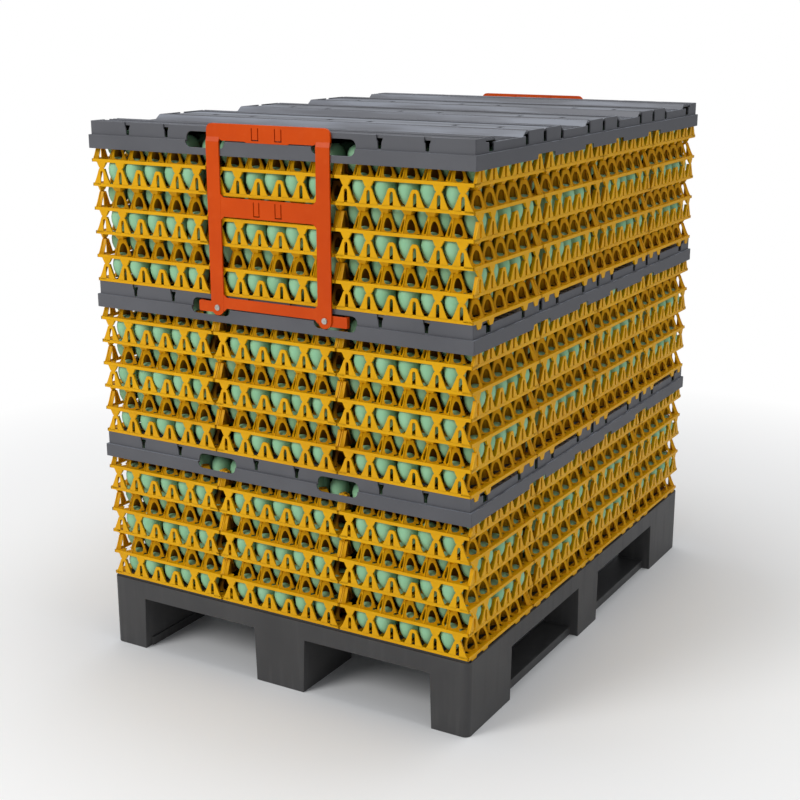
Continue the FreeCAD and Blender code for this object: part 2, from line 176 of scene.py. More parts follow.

# %% [markdown]
# ## The tray plastic
#
# The trays are moulded in one deep yellow. What makes plastic look like
# plastic is mostly small: the tone drifts a little over the load, the gloss is
# uneven, and there is grime in patches. Behind the posts the walls get darker
# and redder, because little light comes back out of the stack. That shade is
# painted in with a mask that grows with the distance from the load's outside.

# %% Yellow, with a drift of tone, a little grime and painted shade in the depths
def tray_finish():
    f = Finish("tray plastic")
    drift = f.noise(6.0, detail=1.0)
    grime = f.noise(38.0, detail=4.0, low=0.52, high=0.8)
    tone = f.mix(drift, (0.83, 0.43, 0.001), (0.76, 0.37, 0.001))
    worn = f.mix(grime * 0.3, tone, (0.55, 0.245, 0.002))
    # Painted shade: the yellow darkens to a deep brown-orange with the distance behind the load's outside.
    colour = f.mix(f.depth(0.023, 0.036) * 0.9, worn, (0.10, 0.030, 0.001))
    grain = f.noise(900.0, detail=1.0)
    return f.shade(Base_Color=colour, Roughness=0.44 + 0.16 * grime,
                   Normal=f.bump(grain, 0.00008, 0.4), Specular_IOR_Level=0.16)


TRAY = tray_finish()
print("made", TRAY.name)

# %% [markdown]
# ## The egg shell
#
# The eggs are a pale blue-green, matt with a faint chalky bloom. A shell is
# never one colour: it is cloudy, lighter in patches and finely pored. Three
# noises of different size give the clouds, the bloom and the pores, and a
# mask paints shade on the eggs that lie deep in the load.

# %% Pale green shell with clouds, pores and painted shade in the depths
def egg_finish():
    f = Finish("egg shell")
    cloud = f.noise(17.0, detail=2.0)
    patch = f.noise(90.0, detail=3.0, low=0.35, high=0.75)
    shell = f.mix(cloud, (0.245, 0.52, 0.285), (0.33, 0.62, 0.38))
    bloom = f.mix(patch * 0.2, shell, (0.36, 0.66, 0.47))
    # Painted shade: eggs deep in the load darken to a dark green.
    colour = f.mix(f.depth(0.03, 0.09) * 0.75, bloom, (0.045, 0.13, 0.07))
    pores = f.noise(1400.0, detail=1.0)
    return f.shade(Base_Color=colour, Roughness=0.5 + 0.12 * patch,
                   Normal=f.bump(pores, 0.0001, 0.35), Specular_IOR_Level=0.25)


EGG = egg_finish()
print("made", EGG.name)

# %% [markdown]
# ## Grey boards and pallet
#
# Dividers and pallet are both grey plastic, but the pallet is darker and has
# been dragged about. The boards get a pale bluish tone where they face up,
# partly streaked dust and partly painted light from above, from a mask made
# from the surface's own normal. The pallet gets long upright scuffs: the same
# noise as before, only stretched along Z.

# %% Mid grey for the boards, with dust and painted light on top
def board_finish():
    f = Finish("divider plastic")
    normal = f.node("ShaderNodeNewGeometry", out="Normal")
    upward = f.node("ShaderNodeSeparateXYZ", sockets={0: normal}, out=2)
    facing_up = f.node("ShaderNodeMapRange", {"clamp": True},
                       {"Value": upward, "From Min": 0.3, "From Max": 0.95})
    blotch = f.noise(9.0, detail=4.0)
    streak = f.noise(26.0, detail=3.0, stretch=(0.12, 1, 1), low=0.42, high=0.62)
    body = f.mix(blotch, (0.086, 0.087, 0.097), (0.108, 0.109, 0.120))
    # Up-facing surfaces turn pale and bluish: streaked dust, and painted light from above.
    dust_and_painted_light = f.mix(facing_up * (0.15 + 0.6 * streak), body, (0.290, 0.312, 0.362))
    grain = f.noise(1100.0, detail=1.0)
    return f.shade(Base_Color=dust_and_painted_light, Roughness=0.46 + 0.16 * blotch,
                   Normal=f.bump(grain, 0.0001, 0.4), Specular_IOR_Level=0.45)


BOARD = board_finish()
print("made", BOARD.name)


# %% Dark grey for the pallet, scuffed upright
def pallet_finish():
    f = Finish("pallet plastic")
    blotch = f.noise(7.0, detail=4.0)
    scuff = f.noise(55.0, detail=5.0, stretch=(1, 1, 0.10), low=0.5, high=0.8)
    height = f.node("ShaderNodeSeparateXYZ", sockets={0: f.place()}, out=2)
    near_floor = f.node("ShaderNodeMapRange", {"clamp": True},
                        {"Value": height, "From Min": 0.06, "From Max": 0.0})
    body = f.mix(blotch, (0.042, 0.041, 0.042), (0.056, 0.055, 0.055))
    worn = f.mix(scuff * (0.25 + 0.4 * near_floor), body, (0.125, 0.122, 0.118))
    grain = f.noise(800.0, detail=2.0)
    return f.shade(Base_Color=worn, Roughness=0.5 + 0.2 * scuff,
                   Normal=f.bump(grain, 0.00015, 0.5), Specular_IOR_Level=0.42)


PALLET = pallet_finish()
print("made", PALLET.name)

# %% [markdown]
# ## Orange clamp and steel screws
#
# The clamp is a satin orange moulding. Its screws are zinc-plated steel,
# turned on a lathe, so the gloss runs in fine rings. A wave texture would draw
# the rings, but at this size a stretched noise reads the same.

# %% Satin orange
def clamp_finish():
    f = Finish("clamp plastic")
    drift = f.noise(11.0, detail=3.0)
    rub = f.noise(70.0, detail=4.0, low=0.55, high=0.85)
    tone = f.mix(drift, (0.60, 0.060, 0.001), (0.67, 0.074, 0.001))
    colour = f.mix(rub * 0.2, tone, (0.74, 0.13, 0.015))
    grain = f.noise(1000.0, detail=1.0)
    return f.shade(Base_Color=colour, Roughness=0.36 + 0.18 * rub,
                   Normal=f.bump(grain, 0.00008, 0.4), Specular_IOR_Level=0.16)


CLAMP = clamp_finish()
print("made", CLAMP.name)


# %% Zinc-plated steel
def steel_finish():
    f = Finish("screw steel")
    turned_marks = f.noise(700.0, detail=2.0, stretch=(1, 0.1, 1))
    stain = f.noise(160.0, detail=3.0)
    colour = f.mix(stain, (0.46, 0.43, 0.38), (0.62, 0.60, 0.56))
    return f.shade(Base_Color=colour, Metallic=1.0, Roughness=0.3 + 0.2 * turned_marks)


STEEL = steel_finish()
print("made", STEEL.name)

# %% [markdown]
# ## One way to make moulded plates
#
# Nearly everything here is a plate cut to an outline: a post with a window, a
# skirt with notches, a clamp with slits. Blender can cut such shapes with
# booleans, but a drawn outline with holes, pushed to its thickness, is faster
# and leaves clean faces. `Moulding` collects such plates in millimetres. A
# `place` function says where the drawing lies in space.

# %% Collect plates, then make a mesh
class Moulding:
    def __init__(self):
        self.points = []
        self.faces = []

    def add(self, points, faces):
        start = len(self.points)
        self.points += [tuple(p) for p in points]
        self.faces += [tuple(start + i for i in face) for face in faces]

    def plate(self, loops, place, near, far):
        """An outline with holes, drawn in a and b, pushed from depth near to far."""
        flat = [point for loop in loops for point in loop]
        count = len(flat)
        caps = tessellate_polygon([[Vector((a, b, 0)) for a, b in loop] for loop in loops])
        faces = [tuple(t) for t in caps] + [tuple(count + i for i in reversed(t)) for t in caps]
        start = 0
        for loop in loops:
            ring = [start + i for i in range(len(loop))]
            faces += [(i, j, count + j, count + i) for i, j in zip(ring, ring[1:] + ring[:1])]
            start += len(loop)
        self.add([place(a, b, near) for a, b in flat] + [place(a, b, far) for a, b in flat], faces)

    def band(self, outer, inner, place, near, far):
        """A strip between two lines of as many points, such as an arch."""
        count = len(outer)
        points = [place(a, b, c) for c in (near, far) for line in (outer, inner) for a, b in line]
        faces = []
        for i in range(count - 1):
            o, n, back = i, count + i, 2 * count
            faces += [(o, o + 1, n + 1, n), (back + o, back + n, back + n + 1, back + o + 1),
                      (o, back + o, back + o + 1, o + 1), (n, n + 1, back + n + 1, back + n)]
        last = count - 1
        faces += [(0, count, 3 * count, 2 * count),
                  (last, 2 * count + last, 3 * count + last, count + last)]
        self.add(points, faces)

    def hexahedron(self, corners):
        """A block of eight corners: four below, then the four above them."""
        self.add(corners, [(0, 3, 2, 1), (4, 5, 6, 7), (0, 1, 5, 4),
                           (1, 2, 6, 5), (2, 3, 7, 6), (3, 0, 4, 7)])

    def block(self, x, y, z):
        self.hexahedron([(x[i], y[j], z[k]) for k in (0, 1) for i, j in ((0, 0), (1, 0), (1, 1), (0, 1))])

    def mesh(self, name):
        """The mesh in metres, its faces turned outward."""
        mesh = bpy.data.meshes.new(name)
        mesh.from_pydata([tuple(MM * v for v in p) for p in self.points], [], self.faces)
        work = bmesh.new()
        work.from_mesh(mesh)
        bmesh.ops.recalc_face_normals(work, faces=work.faces)
        work.to_mesh(mesh)
        work.free()
        return mesh


def triangles(mesh):
    return sum(len(p.vertices) - 2 for p in mesh.polygons)


# %% Give a mesh its finish and put it on the load
def show(mesh, material, nodes, bevel=0.0):
    piece = bpy.data.objects.new(mesh.name, mesh)
    mesh.materials.append(material)
    bpy.context.scene.collection.objects.link(piece)
    if bevel:
        soft = piece.modifiers.new("soft edges", "BEVEL")
        soft.width = bevel * MM
        soft.segments = 2
        soft.limit_method = "ANGLE"
        soft.angle_limit = math.radians(40)
    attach(piece, "root")
    if nodes:
        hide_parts(*nodes)
    return piece


print("plate helpers ready")

# %% [markdown]
# ## What a tray looks like
#
# A tray holds five by six eggs on a square grid. Six cells fill its side
# exactly, five leave a margin of half a cell at each end. So two faces show
# five eggs close to the edge, with flat slotted peaks between them, and the
# other two show six eggs set back behind a shelf, between hollow posts. A post
# is a pyramid set cornerwise, with an oval window in each wall that faces out,
# and the top of an egg of the tray below pokes up into it.
#
# Alternate trays are turned a quarter, which gives the load its pattern. We
# could model one tray and copy it, but most of it is hidden. Instead each
# face is a function, and a tray gets full detail only where it can be seen.

# %% The sizes of a tray, in millimetres
CELL = 49.5
HALF = 3 * CELL
RISE = 50.0
RAIL = 6.5
RAIL_WALL = 2.4
PEAK_TOP = 38.6
LUG_DROP = RISE - PEAK_TOP
SHELF = 17.0
POST_LOW, POST_TOP = 4.5, 39.0
POST_FOOT, POST_TIP = 24.0, 10.5
SHEET = 1.6

# %% Where a face's drawing lies: a along it, b up, c inward
def face_place(side):
    def place(a, b, c):
        return ((a, c - HALF, b), (HALF - c, a, b), (-a, HALF - c, b), (c - HALF, -a, b))[side]
    return place


# %% The rail that runs round the tray's foot
def rail(tray, place):
    tray.plate([[(-HALF, 0), (HALF, 0), (HALF, RAIL), (-HALF, RAIL)]], place, 0, RAIL_WALL)


# %% Five-egg face: flat peaks with a slot, and thin returns that lead inward
PEAK_LINE = [(21.5, RAIL - 1), (17.0, 13), (11.6, 25), (7.6, 35), (4.4, PEAK_TOP)]
SLOT_LINE = [(3.8, RAIL - 1), (3.9, 13), (3.8, 24), (3.3, 30), (1.6, 32)]
PEAK_WALL = 2.2
RETURN_LINE = ((21.0, RAIL - 1), (5.4, PEAK_TOP - 2.5))
RETURN_NEAR, RETURN_FAR = 1.2, 9.0
RETURN_SHARE = 0.72


def mirrored(line, middle):
    """The whole of an arch from its right half, shifted to its place."""
    return [(middle - a, b) for a, b in line] + [(middle + a, b) for a, b in reversed(line)]


def peak(tray, place, middle):
    """A slotted peak with a thin return on either edge, so that it looks hollow."""
    tray.band(mirrored(PEAK_LINE, middle), mirrored(SLOT_LINE, middle), place, 0, PEAK_WALL)
    for s in (-1, 1):
        corners = []
        for half, level in RETURN_LINE:
            edge, inner = middle + s * half, middle + s * half * RETURN_SHARE
            corners += [place(edge, level, RETURN_NEAR), place(edge - s * SHEET, level, RETURN_NEAR),
                        place(inner - s * SHEET, level, RETURN_FAR), place(inner, level, RETURN_FAR)]
        tray.hexahedron(corners)


# %% Under the five-egg face: the feet of the cups
CUP_LINE = ((6.5, POST_TOP - RISE), (12.5, 1.0))


def cup_foot(tray, place, middle):
    tray.hexahedron([place(middle + a * w, level, CELL / 2 + c * w)
                     for w, level in CUP_LINE
                     for a, c in ((-1, -1), (1, -1), (1, 1), (-1, 1))])


# %% Six-egg face: hollow posts with oval windows, behind a shelf
WINDOW_LINE = [(3.4, 6.4), (7.2, 8.8), (8.4, 14), (7.0, 21.5), (4.2, 28), (1.8, 31)]
DIAGONAL = math.sqrt(0.5)
SHELF_BACK, SHELF_NOTCH, NOTCH_HALF = SHELF + 4, SHELF - 8, 7.0
LUG_LINE = ((6.2, -LUG_DROP, 3.0), (12.0, 0.2, 7.0))


def post_width(level):
    """Half the width of a wall of the post at a level."""
    share = (level - POST_LOW) / (POST_TOP - POST_LOW)
    return (POST_FOOT + (POST_TIP - POST_FOOT) * share) * DIAGONAL


def post(tray, place, middle):
    low, tip = post_width(POST_LOW), post_width(POST_TOP)
    outline = [(-low, POST_LOW), (low, POST_LOW), (tip, POST_TOP), (-tip, POST_TOP)]
    for s in (-1, 1):
        for away in (-1, 1):
            def wall(a, b, c):
                reach = post_width(b) - c
                return place(middle + (s * reach + away * a) * DIAGONAL, b,
                             CELL / 2 + (away * reach - s * a) * DIAGONAL)
            windows = [mirrored(WINDOW_LINE, 0)] if away < 0 else []
            tray.plate([outline] + windows, wall, 0, SHEET)


def shelf(tray, place):
    """The ledge in front of the posts, notched under each egg."""
    inner = [(HALF, SHELF_BACK)]
    for i in range(5, -6, -2):
        middle = i * CELL / 2
        inner += [(middle + NOTCH_HALF, SHELF_BACK), (middle, SHELF_NOTCH), (middle - NOTCH_HALF, SHELF_BACK)]
    outline = [(-HALF, 1), (HALF, 1)] + inner + [(-HALF, SHELF_BACK)]

    def level_place(a, c, b):
        return place(a, b, c)
    tray.plate([outline], level_place, RAIL - 3, RAIL - 1.2)


def lug(tray, place, middle):
    """A foot under the shelf that stands on a peak of the tray below."""
    corners = []
    for half, level, depth in LUG_LINE:
        corners += [place(middle - half, level, 0), place(middle + half, level, 0),
                    place(middle + half, level, depth), place(middle - half, level, depth)]
    tray.hexahedron(corners)


# %% A whole face, or only the ends of it where two stacks meet
def five_egg_face(tray, place, ends_only=False):
    rail(tray, place)
    for i in (-5, -3, -1, 1, 3, 5):
        if not ends_only or abs(i) == 5:
            peak(tray, place, i * CELL / 2)
    for i in range(-2, 3):
        if not ends_only:
            cup_foot(tray, place, i * CELL)


def six_egg_face(tray, place, ends_only=False):
    rail(tray, place)
    shelf(tray, place)
    for i in range(-2, 3):
        if not ends_only or abs(i) == 2:
            post(tray, place, i * CELL)
    for i in (-5, -3, 3, 5):
        if not ends_only or abs(i) == 5:
            lug(tray, place, i * CELL / 2)


# %% The inner posts and floor, plain because they hardly show
INNER_LINE = ((18.0, RAIL - 2), (5.0, POST_TOP - 1))
FLOOR_INSET = SHELF + 16


def inner_post(tray, x, y):
    corners = [(x + a * w, y + b * w, level) for w, level in INNER_LINE
               for a, b in ((-1, 0), (0, -1), (1, 0), (0, 1))]
    tray.hexahedron(corners)


def tray_part(outward, lengthwise):
    """One tray: outward lists its visible faces, 0 for -Y, then turning left."""
    tray = Moulding()
    for side in range(4):
        if not outward:
            rail(tray, face_place(side))
            continue
        five_eggs = (side % 2 == 0) == lengthwise
        draw = five_egg_face if five_eggs else six_egg_face
        draw(tray, face_place(side), ends_only=side not in outward)
    for i in (-3, -1, 1, 3):
        for j in range(-2, 3):
            across, along = i * CELL / 2, j * CELL
            inner_post(tray, *((across, along) if lengthwise else (along, across)))
    edge = HALF - FLOOR_INSET
    tray.block((-edge, edge), (-edge, edge), (RAIL - 3, RAIL - 1.5))
    return tray.mesh("tray part")


sample = tray_part((0, 3), True)
print("corner tray:", triangles(sample), "triangles")

# %% [markdown]
# ## Stacking the trays
#
# Thirty-six stacks of six are joined into thirty-six meshes, one for each
# stack of the frame. Copying arrays is much faster than joining objects, so
# numpy shifts the points of a few tray kinds and strings them together. Each
# tray is nudged and turned by a hair, because real stacks are never square.

# %% Join shifted copies of a mesh
def mesh_arrays(mesh):
    points = np.empty(len(mesh.vertices) * 3, np.float32)
    mesh.vertices.foreach_get("co", points)
    loops = np.empty(len(mesh.loops), np.int32)
    mesh.loops.foreach_get("vertex_index", loops)
    sizes = np.empty(len(mesh.polygons), np.int32)
    mesh.polygons.foreach_get("loop_total", sizes)
    return points.reshape(-1, 3), loops, sizes


def joined(name, copies, smooth=False):
    """copies lists (points, loops, sizes) groups that become one mesh."""
    points = np.concatenate([c[0] for c in copies])
    starts = np.cumsum([0] + [len(c[0]) for c in copies[:-1]])
    loops = np.concatenate([c[1] + start for c, start in zip(copies, starts)])
    sizes = np.concatenate([c[2] for c in copies])
    mesh = bpy.data.meshes.new(name)
    mesh.vertices.add(len(points))
    mesh.vertices.foreach_set("co", points.astype(np.float32).ravel())
    mesh.loops.add(len(loops))
    mesh.loops.foreach_set("vertex_index", loops.astype(np.int32))
    mesh.polygons.add(len(sizes))
    mesh.polygons.foreach_set("loop_start", np.concatenate(([0], np.cumsum(sizes)[:-1])).astype(np.int32))
    mesh.polygons.foreach_set("use_smooth", np.full(len(sizes), smooth))
    mesh.update(calc_edges=True)
    mesh.validate()
    return mesh


# %% Make the thirty-six stacks
TIERS = ("lower", "middle", "upper")
NUDGE, TWIST = 0.25 * MM, math.radians(0.08)
chance = np.random.RandomState(7)
tray_kinds = {}
stack_places = {}
tray_total = 0

for tier in TIERS:
    for c in range(COLUMNS):
        for r in range(ROWS):
            node = f"trays_{tier}_c{c + 1}_r{r + 1}"
            low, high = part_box(node)
            middle = np.array([(low.x + high.x) / 2, (low.y + high.y) / 2, low.z])
            stack_places[tier, c, r] = middle
            at_edge = (r == 0, c == COLUMNS - 1, r == ROWS - 1, c == 0)
            outward = tuple(side for side, there in enumerate(at_edge) if there)
            copies = []
            for level in range(LEVELS):
                kind = (outward, level % 2 == 0)
                if kind not in tray_kinds:
                    tray_kinds[kind] = mesh_arrays(tray_part(*kind))
                points, loops, sizes = tray_kinds[kind]
                turn = np.array(Matrix.Rotation(chance.uniform(-TWIST, TWIST), 3, "Z"))
                sideways = [chance.uniform(-NUDGE, NUDGE), chance.uniform(-NUDGE, NUDGE)]
                shift = middle + [*sideways, level * RISE * MM]
                copies.append((points @ turn.T + shift, loops, sizes))
            mesh = joined(f"stack_{tier}_c{c + 1}_r{r + 1}", copies)
            tray_total += triangles(mesh)
            show(mesh, TRAY, [node])
print("trays:", len(stack_places) * LEVELS, "in", len(stack_places), "stacks,", tray_total, "triangles")

# %% [markdown]
# ## The eggs
#
# An egg is a ball whose one end is drawn out. Turning the half outline
# `r = sin(t) * (1 - k cos(t))` about its axis, from the foot up, gives that with
# one number, and the blunt end goes up, as hens' eggs are packed. All 6480 are made, but only
# those near the outside need a round outline, so the ones further in are
# coarser: the same formula with fewer steps.

# %% One egg at three levels of detail
EGG_LENGTH = 57.5
EGG_WIDTH = 44.0
EGG_TAPER = 0.13
EGG_FOOT = 3.0
EGG_STEPS = ((14, 9), (8, 6), (6, 3))


def egg_part(around, steps):
    egg = Moulding()
    points = [(0, 0, EGG_FOOT)]
    for s in range(1, steps):
        t = math.pi * s / steps
        radius = EGG_WIDTH / 2 * math.sin(t) * (1 - EGG_TAPER * math.cos(t)) / (1 + EGG_TAPER ** 2)
        level = EGG_FOOT + EGG_LENGTH * (1 - math.cos(t)) / 2
        turns = [2 * math.pi * i / around for i in range(around)]
        points += [(radius * math.cos(turn), radius * math.sin(turn), level) for turn in turns]
    points.append((0, 0, EGG_FOOT + EGG_LENGTH))
    faces = []
    for s in range(steps - 2):
        for i in range(around):
            j = (i + 1) % around
            faces.append((1 + s * around + i, 1 + s * around + j,
                          1 + (s + 1) * around + j, 1 + (s + 1) * around + i))
    top = len(points) - 1
    for i in range(around):
        j = (i + 1) % around
        faces.append((0, 1 + j, 1 + i))
        faces.append((top, top - around + i, top - around + j))
    egg.add(points, faces)
    return egg.mesh("egg part")


egg_kinds = [mesh_arrays(egg_part(*steps)) for steps in EGG_STEPS]

# %% Fill the trays, tier by tier
NEAR_FACE, SECOND_ROW = 52 * MM, 102 * MM
LEAN = math.radians(2.5)
THINNEST, THICKEST = 0.955, 1.02


def egg_grid(lengthwise):
    five = [i * CELL for i in range(-2, 3)]
    six = [(i + 0.5) * CELL for i in range(-3, 3)]
    across, along = (five, six) if lengthwise else (six, five)
    return [(x, y) for x in across for y in along]


egg_total = 0
for tier in TIERS:
    copies = []
    for (name, c, r), middle in stack_places.items():
        if name != tier:
            continue
        for level in range(LEVELS):
            for x, y in egg_grid(level % 2 == 0):
                spot = middle + np.array([x, y, level * RISE]) * MM
                depth = min(LOAD_EDGE.x - abs(spot[0]), LOAD_EDGE.y - abs(spot[1]))
                detail = 0 if depth < NEAR_FACE else 1 if depth < SECOND_ROW else 2
                points, loops, sizes = egg_kinds[detail]
                lean = chance.normal(0, LEAN, 2)
                turn = np.array([[1, 0, lean[0]], [0, 1, lean[1]], [-lean[0], -lean[1], 1]])
                swell = chance.uniform(THINNEST, THICKEST)
                copies.append((points @ turn.T * [swell, swell, 1] + spot, loops, sizes))
    mesh = joined(f"egg_fill_{tier}", copies, smooth=True)
    egg_total += triangles(mesh)
    show(mesh, EGG, [f"eggs_{tier}"])
    print(tier, "tier:", len(copies), "eggs")
print("egg triangles:", egg_total)

# %% [markdown]
# ## The divider boards
#
# A divider is a shallow lid. Its skirt grips the tray stacks, a narrower band
# stands on it, and the top runs in broad fields with valleys between them, so
# that the trays of the next tier sit level. The construction model has the
# form; here it gets the small windows over the row joints, the ribs on its
# fields and valleys, the round corners of the hand holes and softened edges.
#
# The top's cross-section is the same all the way across. Each field is one
# plate with the windows as holes in its outline, and each valley is a floor
# with a slope on either side.

# %% The board's sizes, in millimetres
board_low, board_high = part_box("divider_top")
WIDE = (board_high.x - board_low.x) / MM
LONG = (board_high.y - board_low.y) / MM
TALL = (board_high.z - board_low.z) / MM
STACK = 298.5
SKIRT, SKIRT_WALL = 28.0, 2.5
BAND_INSET, BAND_WALL = 4.5, 3.5
PLATE, RIB = 4.0, 2.5
VALLEY, VALLEY_FLOOR, VALLEY_MOUTH = 12.0, 104.0, 136.0
HAND_LONG, HAND_LOW, HAND_HIGH, HAND_ROUND = 96.0, 14.0, 45.0, 12.0
LEDGE, SHY = SKIRT - 0.15, 0.3
END_SLOT_AT, SLOT_SILL = 50.0, 30.0
SIDE_POST_SLOT = (STACK - VALLEY_MOUTH) / 2
POST_SLOT, JOINT_SLOT = 14.0, 15.0
NOTCH_HIGH = 9.0
SKIRT_NOTCHES = ((-STACK, 80), (-85, 44), (85, 44), (STACK, 80))
END_SLOT = [(-7.4, TALL), (-6.4, TALL - 9), (-4.4, TALL - 13), (-3.3, SLOT_SILL),
            (3.3, SLOT_SILL), (4.4, TALL - 13), (6.4, TALL - 9), (7.4, TALL)]
CORNER_LINE = [(0, TALL), (36, TALL), (38, TALL - 9), (50, TALL - 9),
               (51, SLOT_SILL), (70, SLOT_SILL), (70, TALL - VALLEY + 2)]
FIELD_RIBS, VALLEY_RIBS, RIB_WALL = (0.0, 12.0, 24.0), (-40, -14, 14, 40), 2.4

stack_middles_x = [(c - 1) * STACK for c in range(COLUMNS)]
stack_middles_y = [(r - 1.5) * STACK for r in range(ROWS)]
row_joints_y = [(r - 2) * STACK for r in range(1, ROWS)]
print("board:", round(WIDE), "x", round(LONG, 1), "x", round(TALL), "mm")


# %% Rounded corners for a drawn notch
def arc(middle, radius, start, end, steps=4):
    angles = [math.radians(start + (end - start) * i / steps) for i in range(steps + 1)]
    return [(middle[0] + radius * math.cos(t), middle[1] + radius * math.sin(t)) for t in angles]


# %% The skirt: hand holes cut in from above, notches from below
def skirt_ends(board, place):
    half = WIDE / 2
    top = [(half, SKIRT)]
    for joint in (STACK / 2, -STACK / 2):
        right, left = joint + HAND_LONG / 2, joint - HAND_LONG / 2
        top += [(right, SKIRT)]
        top += arc((right - HAND_ROUND, HAND_LOW + HAND_ROUND), HAND_ROUND, 0, -90)
        top += arc((left + HAND_ROUND, HAND_LOW + HAND_ROUND), HAND_ROUND, -90, -180)
        top += [(left, SKIRT)]
    board.plate([[(-half, 0), (half, 0)] + top + [(-half, SKIRT)]], place, 0, SKIRT_WALL)


def skirt_sides(board, place):
    half = LONG / 2 - SKIRT_WALL
    foot = [(-half, 0)]
    for middle, length in SKIRT_NOTCHES:
        left, right = middle - length / 2, middle + length / 2
        foot += [(left, 0), (left, NOTCH_HIGH - 2), (left + 2, NOTCH_HIGH),
                 (right - 2, NOTCH_HIGH), (right, NOTCH_HIGH - 2), (right, 0)]
    board.plate([foot + [(half, 0), (half, SKIRT), (-half, SKIRT)]], place, 0, SKIRT_WALL)


# %% The band above the step: slots from above, hand holes from below
def band_ends(board, place):
    half = WIDE / 2 - BAND_INSET
    top = []
    for middle in stack_middles_x:
        for s in (-1, 1):
            x = middle + s * END_SLOT_AT
            top += [(x + a, b) for a, b in END_SLOT]
    foot = []
    for joint in (-STACK / 2, STACK / 2):
        left, right = joint - HAND_LONG / 2, joint + HAND_LONG / 2
        foot += [(left, SKIRT - PLATE)]
        foot += arc((left + HAND_ROUND, HAND_HIGH - HAND_ROUND), HAND_ROUND, 180, 90)
        foot += arc((right - HAND_ROUND, HAND_HIGH - HAND_ROUND), HAND_ROUND, 90, 0)
        foot += [(right, SKIRT - PLATE)]
    outline = [(-half, SKIRT - PLATE)] + foot + [(half, SKIRT - PLATE), (half, TALL)]
    outline += top[::-1] + [(-half, TALL)]
    board.plate([outline], place, BAND_INSET, BAND_INSET + BAND_WALL)


def side_line():
    """The upper edge of a long side: low at each valley, slotted at each joint."""
    half = LONG / 2 - BAND_INSET - BAND_WALL
    low = CORNER_LINE[-1][1]
    line = [(a - half, b) for a, b in CORNER_LINE]
    for joint in row_joints_y:
        for middle, width in ((joint - SIDE_POST_SLOT, POST_SLOT), (joint, JOINT_SLOT),
                              (joint + SIDE_POST_SLOT, POST_SLOT)):
            before = low if middle < joint else TALL
            after = low if middle > joint else TALL
            line += [(middle - width / 2, before), (middle - width / 2, SLOT_SILL),
                     (middle + width / 2, SLOT_SILL), (middle + width / 2, after)]
    return line + [(half - a, b) for a, b in CORNER_LINE[::-1]]


def band_sides(board, place):
    half = LONG / 2 - BAND_INSET - BAND_WALL
    outline = [(half, SKIRT - PLATE), (-half, SKIRT - PLATE)] + side_line()
    board.plate([outline], place, BAND_INSET, BAND_INSET + BAND_WALL)


# %% The step between skirt and band
def step(board):
    reach = BAND_INSET + 0.5
    for s in (-1, 1):
        far = sorted((s * (WIDE / 2 - SHY), s * (WIDE / 2 - reach)))
        board.block(far, (SHY - LONG / 2, LONG / 2 - SHY), (SKIRT - PLATE, LEDGE))
        gap = HAND_LONG / 2
        stops = [-WIDE / 2 + reach, -STACK / 2 - gap, -STACK / 2 + gap, STACK / 2 - gap, STACK / 2 + gap,
                 WIDE / 2 - reach]
        for left, right in zip(stops[::2], stops[1::2]):
            board.block((left, right), sorted((s * (LONG / 2 - SHY), s * (LONG / 2 - reach))),
                        (SKIRT - PLATE, LEDGE))


# %% Fields, valleys and ribs of the top
def top_fields(board):
    half = WIDE / 2 - BAND_INSET - BAND_WALL
    end = LONG / 2 - BAND_INSET - BAND_WALL

    def level(z):
        return lambda a, b, c: (a, b, z + c)

    edges = [-end] + [y + s * VALLEY_MOUTH / 2 for y in stack_middles_y for s in (-1, 1)] + [end]
    for start, stop in zip(edges[::2], edges[1::2]):
        holes = []
        middle = (start + stop) / 2
        inner = abs(middle) < end - 100
        for x in stack_middles_x:
            for s in (-1, 1):
                w, d, y = (6, 12, middle) if inner else (5, 3, math.copysign(end - 9, middle))
                at = x + s * END_SLOT_AT
                holes.append([(at - w, y - d), (at - w, y + d), (at + w, y + d), (at + w, y - d)])
        board.plate([[(-half, start), (half, start), (half, stop), (-half, stop)]] + holes,
                    level(TALL - RIB - PLATE), 0, PLATE)
        for side, inward in ((start, 1), (stop, -1)):
            for offset in FIELD_RIBS:
                rib = sorted((side + inward * offset, side + inward * (offset + RIB_WALL)))
                board.block((-half, half), rib, (TALL - RIB - 0.2, TALL))
    for y in stack_middles_y:
        floor, mouth = VALLEY_FLOOR / 2, VALLEY_MOUTH / 2 + 0.2
        board.block((-half, half), (y - floor, y + floor), (TALL - VALLEY - PLATE, TALL - VALLEY))
        for s in (-1, 1):
            foot, rim = y + s * floor, y + s * mouth
            board.hexahedron([(x, edge, z - drop) for drop in (PLATE, 0)
                              for x, edge, z in ((-half, foot, TALL - VALLEY), (-half, rim, TALL),
                                                 (half, rim, TALL), (half, foot, TALL - VALLEY))])
        for offset in VALLEY_RIBS:
            board.block((-half, half), (y + offset - RIB_WALL / 2, y + offset + RIB_WALL / 2),
                        (TALL - VALLEY - 0.2, TALL - VALLEY + RIB))


def side_place(half):
    """Drawing places on the outer faces of a board, from each of its sides."""
    wide, long = half
    return [lambda a, b, c: (a, c - long, b), lambda a, b, c: (wide - c, a, b),
            lambda a, b, c: (-a, long - c, b), lambda a, b, c: (c - wide, -a, b)]


# %% Make the three boards
def board_mesh(name, lift):
    board = Moulding()
    places = side_place((WIDE / 2, LONG / 2))
    for side in (0, 2):
        skirt_ends(board, places[side])
        band_ends(board, places[side])
    for side in (1, 3):
        skirt_sides(board, places[side])
        band_sides(board, places[side])
    step(board)
    top_fields(board)
    board.points = [(x, y, z + lift) for x, y, z in board.points]
    return board.mesh(name)


